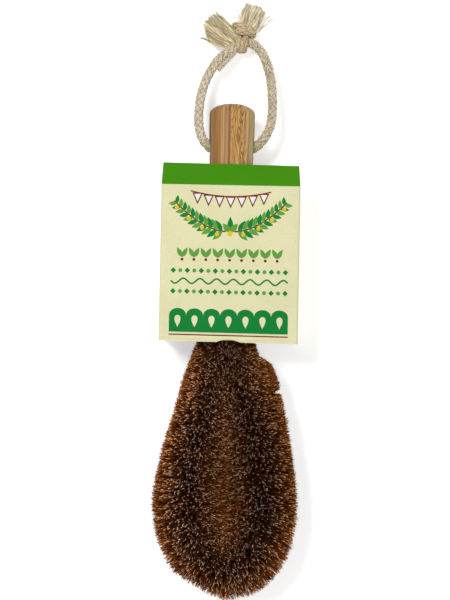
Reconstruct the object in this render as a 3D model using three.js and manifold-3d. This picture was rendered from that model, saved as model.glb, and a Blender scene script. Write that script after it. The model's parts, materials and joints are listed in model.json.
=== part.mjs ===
// Dish brush lying on its back: a turned wooden handle, a coir head on a loop of twisted wire,
// a knotted hanging cord and a folded card sleeve round the handle.
// Millimetres, +Z up, +Y from the head towards the hanging end. The origin lies on the table,
// under the middle of the brush.

import * as THREE from 'three';
import { mergeVertices } from 'three/addons/utils/BufferGeometryUtils.js';
import Module from 'manifold-3d';

const wasm = await Module();
wasm.setup();

// Fits
const CLEARANCE = 0.35;
const OVERCUT = 1;
const WELD = 1e-4;

// Handle, measured from its domed end
const HANDLE_LENGTH = 102.5;
const HANDLE_RADIUS = 11;
const SHOULDER_FROM_END = 13;
const WAIST_RADIUS = 10.5;
const WAIST_FROM_END = 31;
const DOME_HEIGHT = 5;
const FOOT_RADIUS = 9.5;
const FOOT_ROUND = 2.5;
const ROUND_STEPS = 6;
const HANDLE_SIDES = 40;

// Cross hole for the cord
const HOLE_FROM_END = 22.2;
const HOLE_SLACK = 0.4;
const HOLE_FLARE = 1;
const HOLE_FLARE_DEPTH = 3.5;
const HOLE_SIDES = 24;

// Wire loop of the head. The head's length runs from the handle's foot to the bristle tips, and the
// two pulls say how long the wire keeps its way as it leaves the neck and as it nears its widest place.
const HEAD_LENGTH = 136.4;
const WIRE_RADIUS = 0.8;
const WIRE_SIDES = 4;
const TWIST_PITCH = 14;
const WIRE_STEPS_PER_TURN = 8;
const SOCKET_DEPTH = 28;
const LEG_STRAIGHT = 17;
const NECK_PULL = 22;
const SHOULDER_PULL = 40;
const LOOP_HALF_WIDTH = 17.3;
const LOOP_TIP_RISE = 28;

// Coir: a flat batt of fibre gripped between the wires, with strands fanning out of its edges.
// Strands are shortest at the neck and gain the neck's flare for each millimetre down the wire, and
// those that lie sideways are longer. A strand's tip is measured along the wire and round it.
const BATT_HALF_WIDTH = 2.4;
const BATT_HALF_THICKNESS = 0.35;
const BARE_NECK = 3.5;
const BRISTLE_REACH = 18.4;
const SIDEWAYS_EXTRA = 2.4;
const NECK_REACH = 7.6;
const NECK_FLARE = 0.5;
const STRAND_COUNT = 498;
const STRAND_FAN_DEG = 75;
const STRAND_TIP_HALF_WIDTH = 0.22;
const STRAND_TIP_HALF_SPREAD = 0.55;
const SHORTEST_STRAND = 1.5;
const TIP_INNER_SHARE = 0.85;

// The head as it is trimmed: how far it reaches to each side, by the height above its end
const HEAD_LEFT = [
  [0, 4], [1.5, 6.5], [6.5, 16], [12.5, 23.6], [18.5, 28.2], [25.5, 31.7], [33.5, 34.2], [44, 35.4],
  [57.5, 34.1], [73.5, 30.7], [89.5, 25.7], [105.5, 21.9], [117.5, 17.6], [133, 12.4],
];
const HEAD_RIGHT = [
  [0, 11], [1.5, 14], [6.5, 22.4], [12.5, 27], [18.5, 30], [25.5, 32.6], [33.5, 34.3], [44, 35.4],
  [57.5, 34.4], [73.5, 31.9], [89.5, 28.8], [105.5, 25.1], [113.5, 21.6], [117.5, 15.6], [133, 11],
];
const TRIM_STEPS = 16;

// Card sleeve
const CARD = 0.5;
const SLEEVE_WIDTH = 65.6;
const SLEEVE_FRONT_HEIGHT = 18.4;
const SLEEVE_CORNER = 1;
const SLEEVE_BODY_LENGTH = 73.6;
const BAND_RISE = 10.1;
const BAND_TAPER = 0.7;
const SLEEVE_BELOW_HOLE = 8.4;
const NOTCH_WIDTH = 11.5;
const NOTCH_HEIGHT = 1.3;
const NOTCH_SIDES = 64;

// Hanging cord, in the flat plane of its loop: x across the handle, y away from the cross hole
const CORD_RADIUS = 2.1;
const CORD_SIDES = 10;
const CORD_STEPS = 40;
const CORD_POINTS = [
  [3.6, 54.4], [1.2, 53.1], [-1.9, 51.0], [-5.4, 48.0], [-8.4, 44.6], [-11.2, 39.6], [-13.7, 33.8],
  [-15.4, 27.0], [-16.2, 19.8], [-16.1, 12.6], [-15.4, 8.0], [-14.6, 5.0], [-13.0, 2.4],
  [-10.8, 0.62], [-7.6, 0], [0, 0], [7.6, 0], [10.8, 0.6], [13.4, 2.3], [15.6, 4.9], [17.4, 8.3],
  [18.8, 13.4], [19.5, 20.6], [19.3, 29.0], [18.5, 36.0], [17.1, 42.3], [14.9, 48.4], [12.2, 52.6],
  [9.0, 55.1], [5.0, 55.8],
];
const KNOT_SIDES = 14;
const KNOT_RINGS = 9;
const KNOT_WRAP = { x: 5.0, y: 61.2, half: [6.0, 3.6, 4.6], turn: -12 };
const KNOT_BULGE = { x: 4.1, y: 54.1, half: [3.9, 4.5, 4.9], turn: 0 };
const TAIL_SIDES = 10;
const TAIL_LEFT = { root: [1.8, 58.2], tip: [-13.6, 65.4], spread: 7.6 };
const TAIL_RIGHT = { root: [7.0, 62.0], tip: [11.0, 75.4], spread: 7 };
const TAIL_TIP_HALF_THICKNESS = 0.9;
const TAIL_SECTIONS = [
  { share: 0, opening: 0, width: 1 },
  { share: 0.45, opening: 0.5, width: 1 },
  { share: 0.85, opening: 1, width: 1 },
  { share: 1, opening: 1, width: 0.8 },
];

// Places along the brush
const END_Y = (HANDLE_LENGTH + HEAD_LENGTH) / 2;
const FOOT_Y = END_Y - HANDLE_LENGTH;
const HOLE_Y = END_Y - HOLE_FROM_END;
const HEAD_END_Y = FOOT_Y - HEAD_LENGTH;
const LOOP_BOTTOM_Y = HEAD_END_Y + BRISTLE_REACH;
const LOOP_WIDEST_Y = LOOP_BOTTOM_Y + LOOP_TIP_RISE;
const SLEEVE_TOP_Y = HOLE_Y - SLEEVE_BELOW_HOLE;
const SLEEVE_FOLD_Y = SLEEVE_TOP_Y - BAND_RISE;
const SLEEVE_BOTTOM_Y = SLEEVE_FOLD_Y - SLEEVE_BODY_LENGTH;

// The brush lies on its bristles, so the handle's axis is as high as they reach.
const AXIS_Z = BRISTLE_REACH;
const SLEEVE_FRONT_Z = AXIS_Z + SLEEVE_FRONT_HEIGHT;

// The knot lies just high enough for the back of the sleeve to pass under it.
const KNOT_FROM_HOLE = (KNOT_WRAP.y + KNOT_BULGE.y) / 2;
const KNOT_REST_Z = KNOT_BULGE.half[2] + CARD + 2 * CLEARANCE;

// The wires stand off the batt where they grip it, and close on each other in the handle.
const GRIP_OFFSET = BATT_HALF_THICKNESS + CLEARANCE + WIRE_RADIUS;
const TIGHT_OFFSET = WIRE_RADIUS + CLEARANCE / 2;
const LEG_X = Math.max(BATT_HALF_WIDTH, GRIP_OFFSET + WIRE_RADIUS) + CLEARANCE;
const SOCKET_RADIUS = TIGHT_OFFSET + WIRE_RADIUS + CLEARANCE;

const material = (color, roughness, metalness = 0) =>
  new THREE.MeshStandardMaterial({ color, roughness, metalness });
const WOOD = material(0xb88c5c, 0.55);
const STEEL = material(0x8d8f92, 0.4, 1);
const COIR = material(0x6a4223, 0.85);
const COTTON = material(0xded0b0, 0.9);
const CARD_STOCK = material(0xe4deb2, 0.7);

function toSolid(geometry) {
  const bare = geometry.clone();
  bare.deleteAttribute('normal');
  bare.deleteAttribute('uv');
  const merged = mergeVertices(bare, WELD);
  return new wasm.Manifold(new wasm.Mesh({
    numProp: 3,
    vertProperties: new Float32Array(merged.attributes.position.array),
    triVerts: new Uint32Array(merged.index.array),
  }));
}

function toGeometry(solid) {
  const mesh = solid.getMesh();
  const geometry = new THREE.BufferGeometry();
  geometry.setAttribute('position', new THREE.BufferAttribute(mesh.vertProperties, 3));
  geometry.setIndex(new THREE.BufferAttribute(mesh.triVerts, 1));
  geometry.computeVertexNormals();
  return geometry;
}

function piece(name, geometry, look) {
  const mesh = new THREE.Mesh(geometry, look);
  mesh.name = name;
  return mesh;
}

// A closed skin over rings of points, with flat ends. Each ring runs counterclockwise
// when seen from the far end.
function loft(rings) {
  const around = rings[0].length;
  const positions = rings.flat().flatMap((p) => [p.x, p.y, p.z]);
  const faces = [];
  for (let k = 0; k + 1 < rings.length; k++) {
    for (let i = 0; i < around; i++) {
      const a = k * around + i;
      const b = k * around + (i + 1) % around;
      faces.push(a, b, b + around, a, b + around, a + around);
    }
  }
  const last = (rings.length - 1) * around;
  for (let i = 1; i + 1 < around; i++) {
    faces.push(0, i + 1, i);
    faces.push(last, last + i, last + i + 1);
  }
  const geometry = new THREE.BufferGeometry();
  geometry.setAttribute('position', new THREE.Float32BufferAttribute(positions, 3));
  geometry.setIndex(faces);
  return geometry;
}

function disc(radius, sides) {
  const corners = [];
  for (let i = 0; i < sides; i++) {
    const angle = (2 * Math.PI * i) / sides;
    corners.push(new THREE.Vector2(radius * Math.cos(angle), radius * Math.sin(angle)));
  }
  return new THREE.Shape(corners);
}

function tube(curve, radius, sides, steps) {
  return new THREE.ExtrudeGeometry(disc(radius, sides), {
    steps, extrudePath: curve, bevelEnabled: false,
  });
}

function roundBar(radius, length, sides) {
  return new THREE.CylinderGeometry(radius, radius, length, sides);
}

// Handle: a lathe turning about the Y axis, cut by the cross hole and the two wire sockets

function handleProfile() {
  const profile = [new THREE.Vector2(0, FOOT_Y)];
  for (let i = 0; i <= ROUND_STEPS; i++) {
    const angle = (Math.PI / 2) * (i / ROUND_STEPS);
    profile.push(new THREE.Vector2(
      FOOT_RADIUS - FOOT_ROUND * (1 - Math.sin(angle)),
      FOOT_Y + FOOT_ROUND * (1 - Math.cos(angle)),
    ));
  }
  profile.push(new THREE.Vector2(WAIST_RADIUS, END_Y - WAIST_FROM_END));
  profile.push(new THREE.Vector2(HANDLE_RADIUS, END_Y - SHOULDER_FROM_END));
  for (let i = 0; i <= ROUND_STEPS; i++) {
    const angle = (Math.PI / 2) * (i / ROUND_STEPS);
    profile.push(new THREE.Vector2(
      i < ROUND_STEPS ? HANDLE_RADIUS * Math.cos(angle) : 0,
      END_Y - DOME_HEIGHT * (1 - Math.sin(angle)),
    ));
  }
  return profile;
}

// The hole's mouths flare, so that the cord can lean over in any direction.
function crossHole() {
  const radius = CORD_RADIUS + HOLE_SLACK;
  const past = HANDLE_RADIUS + OVERCUT;
  const wide = radius + HOLE_FLARE * (HOLE_FLARE_DEPTH + OVERCUT) / HOLE_FLARE_DEPTH;
  const inner = HANDLE_RADIUS - HOLE_FLARE_DEPTH;
  const profile = [[0, -past], [wide, -past], [radius, -inner], [radius, inner], [wide, past], [0, past]];
  const cutter = new THREE.LatheGeometry(profile.map(([r, y]) => new THREE.Vector2(r, y)), HOLE_SIDES);
  return cutter.rotateZ(Math.PI / 2).translate(0, HOLE_Y, AXIS_Z);
}

function handle() {
  const body = new THREE.LatheGeometry(handleProfile(), HANDLE_SIDES).translate(0, 0, AXIS_Z);
  let solid = toSolid(body).subtract(toSolid(crossHole()));
  for (const side of [-1, 1]) {
    const socket = roundBar(SOCKET_RADIUS, 2 * SOCKET_DEPTH, HOLE_SIDES);
    solid = solid.subtract(toSolid(socket.translate(side * LEG_X, FOOT_Y, AXIS_Z)));
  }
  return piece('handle', toGeometry(solid), WOOD);
}

// Centre line of the twisted wire: up one leg's socket, round the loop and into the other socket

const NECK_Y = FOOT_Y - LEG_STRAIGHT;
const SOCKET_END_Y = FOOT_Y + SOCKET_DEPTH - CLEARANCE;

function wirePath() {
  const path = new THREE.Path();
  path.moveTo(-LEG_X, SOCKET_END_Y);
  path.lineTo(-LEG_X, NECK_Y);
  path.bezierCurveTo(
    -LEG_X, NECK_Y - NECK_PULL,
    -LOOP_HALF_WIDTH, LOOP_WIDEST_Y + SHOULDER_PULL,
    -LOOP_HALF_WIDTH, LOOP_WIDEST_Y,
  );
  path.absellipse(0, LOOP_WIDEST_Y, LOOP_HALF_WIDTH, LOOP_TIP_RISE, Math.PI, 2 * Math.PI);
  path.bezierCurveTo(
    LOOP_HALF_WIDTH, LOOP_WIDEST_Y + SHOULDER_PULL,
    LEG_X, NECK_Y - NECK_PULL,
    LEG_X, NECK_Y,
  );
  path.lineTo(LEG_X, SOCKET_END_Y);
  return path;
}

const PATH = wirePath();
const PATH_LENGTH = PATH.getLength();
const [LEG_LENGTH, SIDE_LENGTH, TIP_LENGTH] = PATH.curves.map((curve) => curve.getLength());
const BATT_START = SOCKET_END_Y - FOOT_Y + BARE_NECK;
const LEFT_END = LEG_LENGTH + SIDE_LENGTH;
const TIP_END = LEFT_END + TIP_LENGTH;
const STRAND_SPACING = (PATH_LENGTH - 2 * BATT_START) / STRAND_COUNT;

const UP = new THREE.Vector3(0, 0, 1);

// Point on the centre line, the way it runs, and the way out of the loop
function station(distance) {
  const share = THREE.MathUtils.clamp(distance / PATH_LENGTH, 0, 1);
  const point = PATH.getPoint(share);
  const along = PATH.getTangent(share);
  return {
    point: new THREE.Vector3(point.x, point.y, AXIS_Z),
    along: new THREE.Vector3(along.x, along.y, 0),
    out: new THREE.Vector3(along.y, -along.x, 0),
  };
}

const twistAt = (distance) => (2 * Math.PI * (distance - PATH_LENGTH / 2)) / TWIST_PITCH;

function spoke(out, angle) {
  return out.clone().multiplyScalar(Math.cos(angle)).addScaledVector(UP, Math.sin(angle));
}

class TwistedStrand extends THREE.Curve {
  constructor(phase) {
    super();
    this.phase = phase;
  }

  getPoint(share) {
    const distance = share * PATH_LENGTH;
    const fromEnd = Math.min(distance, PATH_LENGTH - distance);
    const grip = THREE.MathUtils.smoothstep(fromEnd, BATT_START - BARE_NECK, BATT_START);
    const offset = THREE.MathUtils.lerp(TIGHT_OFFSET, GRIP_OFFSET, grip);
    const { point, out } = station(distance);
    return point.addScaledVector(spoke(out, twistAt(distance) + this.phase), offset);
  }
}

function wireStrand(name, phase) {
  const steps = Math.round((PATH_LENGTH / TWIST_PITCH) * WIRE_STEPS_PER_TURN);
  return piece(name, tube(new TwistedStrand(phase), WIRE_RADIUS, WIRE_SIDES, steps), STEEL);
}

// Coir

// How far it is across the loop to its middle, along the inward way from a point of the wire
function toMiddle(distance, point, out) {
  if (distance < LEFT_END || distance > TIP_END) {
    return (Math.abs(point.x) - STRAND_TIP_HALF_WIDTH - CLEARANCE / 2) / Math.abs(out.x);
  }
  const across = point.x / LOOP_HALF_WIDTH ** 2;
  const down = (point.y - LOOP_WIDEST_Y) / LOOP_TIP_RISE ** 2;
  return TIP_INNER_SHARE * LOOP_HALF_WIDTH ** 2 * Math.hypot(across, down);
}

// Half width of the trimmed head on one side, at a height above its end
function headRoom(side, height) {
  const outline = side < 0 ? HEAD_LEFT : HEAD_RIGHT;
  const next = outline.findIndex(([h]) => h >= height);
  if (next < 1) {
    return outline.at(next)[1];
  }
  const [[low, near], [high, far]] = outline.slice(next - 1, next + 1);
  return THREE.MathUtils.mapLinear(height, low, high, near, far);
}

// The greatest reach from a point, up to a limit, that stays within the trimmed head
function trimmed(point, way, limit) {
  const fits = (reach) => {
    const tip = point.clone().addScaledVector(way, reach);
    return tip.y >= HEAD_END_Y && Math.abs(tip.x) <= headRoom(tip.x, tip.y - HEAD_END_Y);
  };
  let [low, high] = [0, limit];
  for (let step = 0; step < TRIM_STEPS && !fits(high); step++) {
    const middle = (low + high) / 2;
    [low, high] = fits(middle) ? [middle, high] : [low, middle];
  }
  return fits(high) ? high : low;
}

// How far the coir stands off the wire before it is trimmed: less at the neck
function coirReach(distance) {
  const fromBatt = Math.min(distance, PATH_LENGTH - distance) - BATT_START;
  return Math.min(BRISTLE_REACH, NECK_REACH + NECK_FLARE * fromBatt);
}

// How far a strand may reach: within the card, and short of the strands that come the other way
// across the loop.
function reachAt(distance, angle) {
  const { point, out } = station(distance);
  const sideways = Math.cos(angle);
  let reach = coirReach(distance) + SIDEWAYS_EXTRA * sideways ** 2;
  if (point.y > SLEEVE_BOTTOM_Y - BATT_HALF_WIDTH) {
    reach = Math.min(reach, SLEEVE_FRONT_HEIGHT - CARD - CLEARANCE, AXIS_Z - CARD - CLEARANCE);
  }
  if (sideways < 0) {
    reach = Math.min(reach, toMiddle(distance, point, out) / -sideways);
  }
  return trimmed(point, spoke(out, angle), reach);
}

// Corners of the batt's section, as signs across its width and its thickness
const BATT_CORNERS = [[1, 1], [1, -1], [-1, -1], [-1, 1]];
const BATT_EDGES = [0, 2];

function battRing(distance) {
  const { point, out } = station(distance);
  const wide = spoke(out, twistAt(distance));
  const thick = spoke(out, twistAt(distance) + Math.PI / 2);
  return BATT_CORNERS.map(([w, t]) => point.clone()
    .addScaledVector(wide, w * BATT_HALF_WIDTH)
    .addScaledVector(thick, t * BATT_HALF_THICKNESS));
}

// The four corners of a strand's tip, in the order of the square of batt that it grows from. Each
// strand keeps to its own slice across the wire and is turned in it by a share of the fan, which
// is narrower for the short strands of the neck.
function strandTip(distance, edge, fan) {
  const [side] = BATT_CORNERS[edge];
  const { point, along, out } = station(distance);
  const edgeAngle = twistAt(distance) + (side > 0 ? 0 : Math.PI);
  const widest = THREE.MathUtils.degToRad(STRAND_FAN_DEG) * (coirReach(distance) / BRISTLE_REACH);
  const angle = edgeAngle + widest * fan;
  const reach = reachAt(distance, angle);
  if (reach < BATT_HALF_WIDTH + SHORTEST_STRAND) {
    return null;
  }
  const centre = point.addScaledVector(spoke(out, angle), reach);
  const round = spoke(out, angle + Math.PI / 2);
  return [[-1, 1], [-1, -1], [1, -1], [1, 1]].map(([ahead, over]) => centre.clone()
    .addScaledVector(along, ahead * STRAND_TIP_HALF_WIDTH)
    .addScaledVector(round, over * STRAND_TIP_HALF_SPREAD));
}

// A share of the fan from -1 to 1, evenly scattered from strand to strand
const fanShare = (number) => 2 * ((number * (Math.sqrt(5) - 1) / 2) % 1) - 1;

// One closed skin over the batt, with every second square of each edge drawn out into a strand
function bristles(name, start, end) {
  const from = start + CLEARANCE / 2;
  const to = end - CLEARANCE / 2;
  const steps = Math.round((to - from) / STRAND_SPACING);
  const step = (to - from) / steps;
  const around = BATT_CORNERS.length;
  const points = [];
  const faces = [];
  const square = (a, b, c, d) => faces.push(a, b, c, a, c, d);
  for (let k = 0; k <= steps; k++) {
    points.push(...battRing(from + step * k));
  }
  for (let k = 0; k < steps; k++) {
    for (let i = 0; i < around; i++) {
      const a = k * around + i;
      const b = k * around + ((i + 1) % around);
      const base = [a, b, b + around, a + around];
      const grows = i === BATT_EDGES[k % 2];
      const tip = grows ? strandTip(from + step * (k + 0.5), i, fanShare(k)) : null;
      if (tip === null) {
        square(...base);
        continue;
      }
      const top = tip.map((corner) => points.push(corner) - 1);
      base.forEach((corner, j) => {
        const next = (j + 1) % base.length;
        square(corner, base[next], top[next], top[j]);
      });
      square(...top);
    }
  }
  const last = steps * around;
  square(3, 2, 1, 0);
  square(last, last + 1, last + 2, last + 3);
  const geometry = new THREE.BufferGeometry().setFromPoints(points);
  geometry.setIndex(faces);
  geometry.computeVertexNormals();
  return piece(name, geometry, COIR);
}

// Card sleeve: a four-sided tube whose front leans in to the handle above its upper fold

function sleeveTube() {
  const outline = (inset) => {
    const x = SLEEVE_WIDTH / 2 - inset;
    const low = inset;
    const high = SLEEVE_FRONT_Z - inset;
    const round = SLEEVE_CORNER - inset;
    const shape = new THREE.Shape();
    shape.moveTo(-x + round, low);
    shape.lineTo(x - round, low);
    shape.absarc(x - round, low + round, round, -Math.PI / 2, 0);
    shape.lineTo(x, high - round);
    shape.absarc(x - round, high - round, round, 0, Math.PI / 2);
    shape.lineTo(-x + round, high);
    shape.absarc(-x + round, high - round, round, Math.PI / 2, Math.PI);
    shape.lineTo(-x, low + round);
    shape.absarc(-x + round, low + round, round, Math.PI, 1.5 * Math.PI);
    return shape;
  };
  const wall = outline(0);
  wall.holes.push(outline(CARD));
  const tubeWall = new THREE.ExtrudeGeometry(wall, {
    depth: SLEEVE_BODY_LENGTH, bevelEnabled: false, curveSegments: 3,
  });
  return tubeWall.rotateX(Math.PI / 2).translate(0, SLEEVE_FOLD_Y, 0);
}

// A flat strip of card from the fold to the sleeve's top edge
function sleeveFlap(lowAtFold, lowAtTop) {
  const atFold = SLEEVE_WIDTH / 2 - SLEEVE_CORNER;
  const atTop = SLEEVE_WIDTH / 2 - BAND_TAPER;
  const ring = (half, y, low) => [[-half, low], [-half, low + CARD], [half, low + CARD], [half, low]]
    .map(([x, z]) => new THREE.Vector3(x, y, z));
  return loft([
    ring(atFold, SLEEVE_FOLD_Y - SLEEVE_CORNER, lowAtFold),
    ring(atFold, SLEEVE_FOLD_Y, lowAtFold),
    ring(atTop, SLEEVE_TOP_Y, lowAtTop),
  ]);
}

function cardSleeve() {
  const bandEdge = AXIS_Z + HANDLE_RADIUS + CLEARANCE;
  const notchRadius = ((NOTCH_WIDTH / 2) ** 2 + NOTCH_HEIGHT ** 2) / (2 * NOTCH_HEIGHT);
  const notch = roundBar(notchRadius, SLEEVE_FRONT_HEIGHT, NOTCH_SIDES).rotateX(Math.PI / 2)
    .translate(0, SLEEVE_BOTTOM_Y + NOTCH_HEIGHT - notchRadius, SLEEVE_FRONT_Z);
  const solid = toSolid(sleeveTube())
    .add(toSolid(sleeveFlap(SLEEVE_FRONT_Z - CARD, bandEdge)))
    .add(toSolid(sleeveFlap(0, 0)))
    .subtract(toSolid(notch));
  return piece('card_sleeve', toGeometry(solid), CARD_STOCK);
}

// Hanging cord, built flat and then laid down about the cross hole until its knot meets the table

function knotLump({ x, y, half, turn }, grow) {
  const [across, along, thick] = half;
  const lump = new THREE.SphereGeometry(1, KNOT_SIDES, KNOT_RINGS);
  return lump.scale(across + grow, along + grow, thick + grow)
    .rotateZ(THREE.MathUtils.degToRad(turn))
    .translate(x, y, 0);
}

function knotSolid(grow) {
  return toSolid(knotLump(KNOT_WRAP, grow)).add(toSolid(knotLump(KNOT_BULGE, grow)));
}

function cordLoop() {
  const curve = new THREE.CatmullRomCurve3(CORD_POINTS.map(([x, y]) => new THREE.Vector3(x, y, 0)));
  const cord = tube(curve, CORD_RADIUS, CORD_SIDES, CORD_STEPS);
  return piece('cord_loop', toGeometry(toSolid(cord).subtract(knotSolid(CLEARANCE))), COTTON);
}

// A frayed end opens from the cord's round section to a flat fan.
function cordTail(name, { root, tip, spread }) {
  const from = new THREE.Vector3(root[0], root[1], 0);
  const to = new THREE.Vector3(tip[0], tip[1], 0);
  const along = to.clone().sub(from).normalize();
  const across = new THREE.Vector3().crossVectors(UP, along);
  const rings = TAIL_SECTIONS.map(({ share, opening, width }) => {
    const centre = from.clone().lerp(to, share);
    const wide = width * THREE.MathUtils.lerp(CORD_RADIUS, spread, opening);
    const thick = THREE.MathUtils.lerp(CORD_RADIUS, TAIL_TIP_HALF_THICKNESS, opening);
    const ring = [];
    for (let i = 0; i < TAIL_SIDES; i++) {
      const angle = (2 * Math.PI * i) / TAIL_SIDES;
      ring.push(centre.clone()
        .addScaledVector(across, wide * Math.cos(angle))
        .addScaledVector(UP, thick * Math.sin(angle)));
    }
    return ring;
  });
  return piece(name, toGeometry(toSolid(loft(rings)).subtract(knotSolid(CLEARANCE))), COTTON);
}

function hangingCord() {
  const group = new THREE.Group();
  group.add(
    cordLoop(),
    piece('cord_knot', toGeometry(knotSolid(0)), COTTON),
    cordTail('cord_tail_left', TAIL_LEFT),
    cordTail('cord_tail_right', TAIL_RIGHT),
  );
  group.position.set(0, HOLE_Y, AXIS_Z);
  group.rotation.x = -Math.asin((AXIS_Z - KNOT_REST_Z) / KNOT_FROM_HOLE);
  return group;
}

const brush = new THREE.Group();
brush.add(
  handle(),
  wireStrand('wire_strand_a', Math.PI / 2),
  wireStrand('wire_strand_b', -Math.PI / 2),
  bristles('bristles_left', BATT_START, LEFT_END),
  bristles('bristles_tip', LEFT_END, TIP_END),
  bristles('bristles_right', TIP_END, PATH_LENGTH - BATT_START),
  cardSleeve(),
  hangingCord(),
);

export default brush;
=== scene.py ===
"""Dish brush: turned wooden handle, coir head on a loop of twisted wire, knotted cotton cord and a
printed card sleeve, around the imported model. +Y runs along the handle towards its hanging end and
+Z points up from the table that the brush lies on. Sizes are written in millimetres and scaled to
metres by MM where points are made."""

import itertools
import json
import math

import bpy
import numpy as np
from mathutils import Euler, Matrix, Vector
from mathutils.geometry import delaunay_2d_cdt


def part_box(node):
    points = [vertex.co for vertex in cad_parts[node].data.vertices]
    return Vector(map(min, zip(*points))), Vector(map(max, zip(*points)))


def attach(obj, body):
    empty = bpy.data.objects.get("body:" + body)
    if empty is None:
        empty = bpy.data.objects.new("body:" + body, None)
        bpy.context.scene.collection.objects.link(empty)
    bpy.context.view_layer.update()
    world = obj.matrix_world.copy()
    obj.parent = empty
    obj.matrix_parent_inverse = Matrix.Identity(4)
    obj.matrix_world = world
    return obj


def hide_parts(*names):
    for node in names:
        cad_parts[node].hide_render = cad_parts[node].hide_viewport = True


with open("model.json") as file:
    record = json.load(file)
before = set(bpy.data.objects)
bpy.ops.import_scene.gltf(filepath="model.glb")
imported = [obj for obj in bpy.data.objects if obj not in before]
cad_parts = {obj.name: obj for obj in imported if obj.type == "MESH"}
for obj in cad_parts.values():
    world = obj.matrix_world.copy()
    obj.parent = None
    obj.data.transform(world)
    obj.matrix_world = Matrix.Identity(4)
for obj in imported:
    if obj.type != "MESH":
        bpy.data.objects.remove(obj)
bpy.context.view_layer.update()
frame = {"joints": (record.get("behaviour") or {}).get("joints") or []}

MM = 0.001
SEED = 7
UP = np.array([0, 0, 1.0])

# Places along the brush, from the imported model. The cord swings about the cross hole in the handle.
cord_swing = next(joint for joint in frame["joints"] if joint["name"] == "cord_swing")
_, HOLE_Y, AXIS_Z = np.array(cord_swing["pos_m"]) / MM
FOOT_Y, END_Y = (corner.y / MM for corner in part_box("handle"))


def add_object(name, data):
    """An object of the scene with this data."""
    made = bpy.data.objects.new(name, data)
    bpy.context.scene.collection.objects.link(made)
    return made


# Camera: straight above, with the handle's axis plane at the photograph's scale

PHOTO_HEIGHT_PX = 600
MM_PER_PX = 0.4835
CAMERA_RISE = 690
CAMERA_XY = (-1.8, 24.66)
CAMERA_ROLL_DEG = 1.1


def add_camera():
    data = bpy.data.cameras.new("camera")
    data.lens = data.sensor_width * CAMERA_RISE / (PHOTO_HEIGHT_PX * MM_PER_PX)
    camera = add_object("camera", data)
    camera.location = Vector((*CAMERA_XY, AXIS_Z + CAMERA_RISE)) * MM
    camera.rotation_euler = (0, 0, math.radians(CAMERA_ROLL_DEG))
    bpy.context.scene.camera = camera


add_camera()


# Materials

def srgb(red, green, blue):
    """A linear colour with alpha from sRGB numbers between 0 and 255."""
    parts = np.array([red, green, blue]) / 255
    linear = np.where(parts <= 0.04045, parts / 12.92, ((parts + 0.055) / 1.055) ** 2.4)
    return (*linear.tolist(), 1.0)


class Nodes:
    """A short way to write a material or the world: a call adds a node and links or sets its inputs."""

    def __init__(self, name, owners=bpy.data.materials, shader="Principled BSDF"):
        self.owner = owners.new(name)
        self.owner.use_nodes = True
        self.tree = self.owner.node_tree
        self.shader = self.tree.nodes[shader]

    def set(self, socket, value):
        if isinstance(value, bpy.types.NodeSocket):
            self.tree.links.new(value, socket)
        else:
            socket.default_value = value

    def node(self, kind, inputs, output=0, **settings):
        made = self.tree.nodes.new(kind)
        for name, value in settings.items():
            setattr(made, name, value)
        for name, value in inputs.items():
            self.set(made.inputs[name], value)
        return made.outputs[output]

    def where(self):
        """The place on a piece, in metres."""
        return self.node("ShaderNodeTexCoord", {}, "Object")

    def tint(self):
        """The colour that the mesh gives."""
        return self.node("ShaderNodeAttribute", {}, "Color", attribute_name="tint")

    def noise(self, vector, scale, **more):
        inputs = {"Vector": vector, "Scale": scale, "Detail": 3.0, **more}
        return self.node("ShaderNodeTexNoise", inputs)

    def math(self, operation, *values):
        return self.node("ShaderNodeMath", dict(enumerate(values)), operation=operation)

    def vector(self, operation, *values, output="Vector"):
        return self.node("ShaderNodeVectorMath", dict(enumerate(values)), output, operation=operation)

    def rerange(self, value, low, high, to_low, to_high):
        return self.node("ShaderNodeMapRange", {
            "Value": value, "From Min": low, "From Max": high, "To Min": to_low, "To Max": to_high,
        }, interpolation_type="SMOOTHSTEP")

    def ramp(self, value, stops):
        made = self.tree.nodes.new("ShaderNodeValToRGB")
        self.set(made.inputs["Fac"], value)
        elements = made.color_ramp.elements
        while len(elements) < len(stops):
            elements.new(0.5)
        for element, (position, colour) in zip(elements, stops):
            element.position = position
            element.color = colour
        return made.outputs["Color"]

    def mix(self, share, first, second, blend="MIX"):
        """A mix of two colours, which are the node's inputs 6 and 7. Output 2 is a colour too."""
        inputs = {0: share, 6: first, 7: second}
        return self.node("ShaderNodeMix", inputs, 2, data_type="RGBA", blend_type=blend)

    def shaded(self, colour, level):
        """A colour made lighter or darker by a level."""
        return self.mix(1.0, colour, level, "MULTIPLY")

    def bump(self, height, strength, distance):
        inputs = {"Height": height, "Strength": strength, "Distance": distance}
        return self.node("ShaderNodeBump", inputs)

    def finish(self, **inputs):
        for name, value in inputs.items():
            self.set(self.shader.inputs[name.replace("_", " ")], value)
        return self.owner


# Meshes

def add_mesh(name, points, faces):
    """An object with a mesh, from points in millimetres."""
    mesh = bpy.data.meshes.new(name)
    mesh.from_pydata((np.asarray(points) * MM).tolist(), [], faces)
    return add_object(name, mesh)


def add_piece(name, node, points, faces, materials, body):
    """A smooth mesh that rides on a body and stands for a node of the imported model."""
    piece = add_mesh(name, points, faces)
    for material in materials:
        piece.data.materials.append(material)
    piece.data.polygons.foreach_set("use_smooth", [True] * len(piece.data.polygons))
    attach(piece, body)
    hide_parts(node)
    return piece


def apply_modifiers(piece):
    graph = bpy.context.evaluated_depsgraph_get()
    mesh = bpy.data.meshes.new_from_object(piece.evaluated_get(graph))
    piece.modifiers.clear()
    piece.data = mesh


def tint(piece, colours, domain):
    """Gives each point or corner of a mesh its own colour, which the materials read as tint."""
    layer = piece.data.color_attributes.new("tint", "FLOAT_COLOR", domain)
    layer.data.foreach_set("color", np.asarray(colours, np.float32).ravel())


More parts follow.
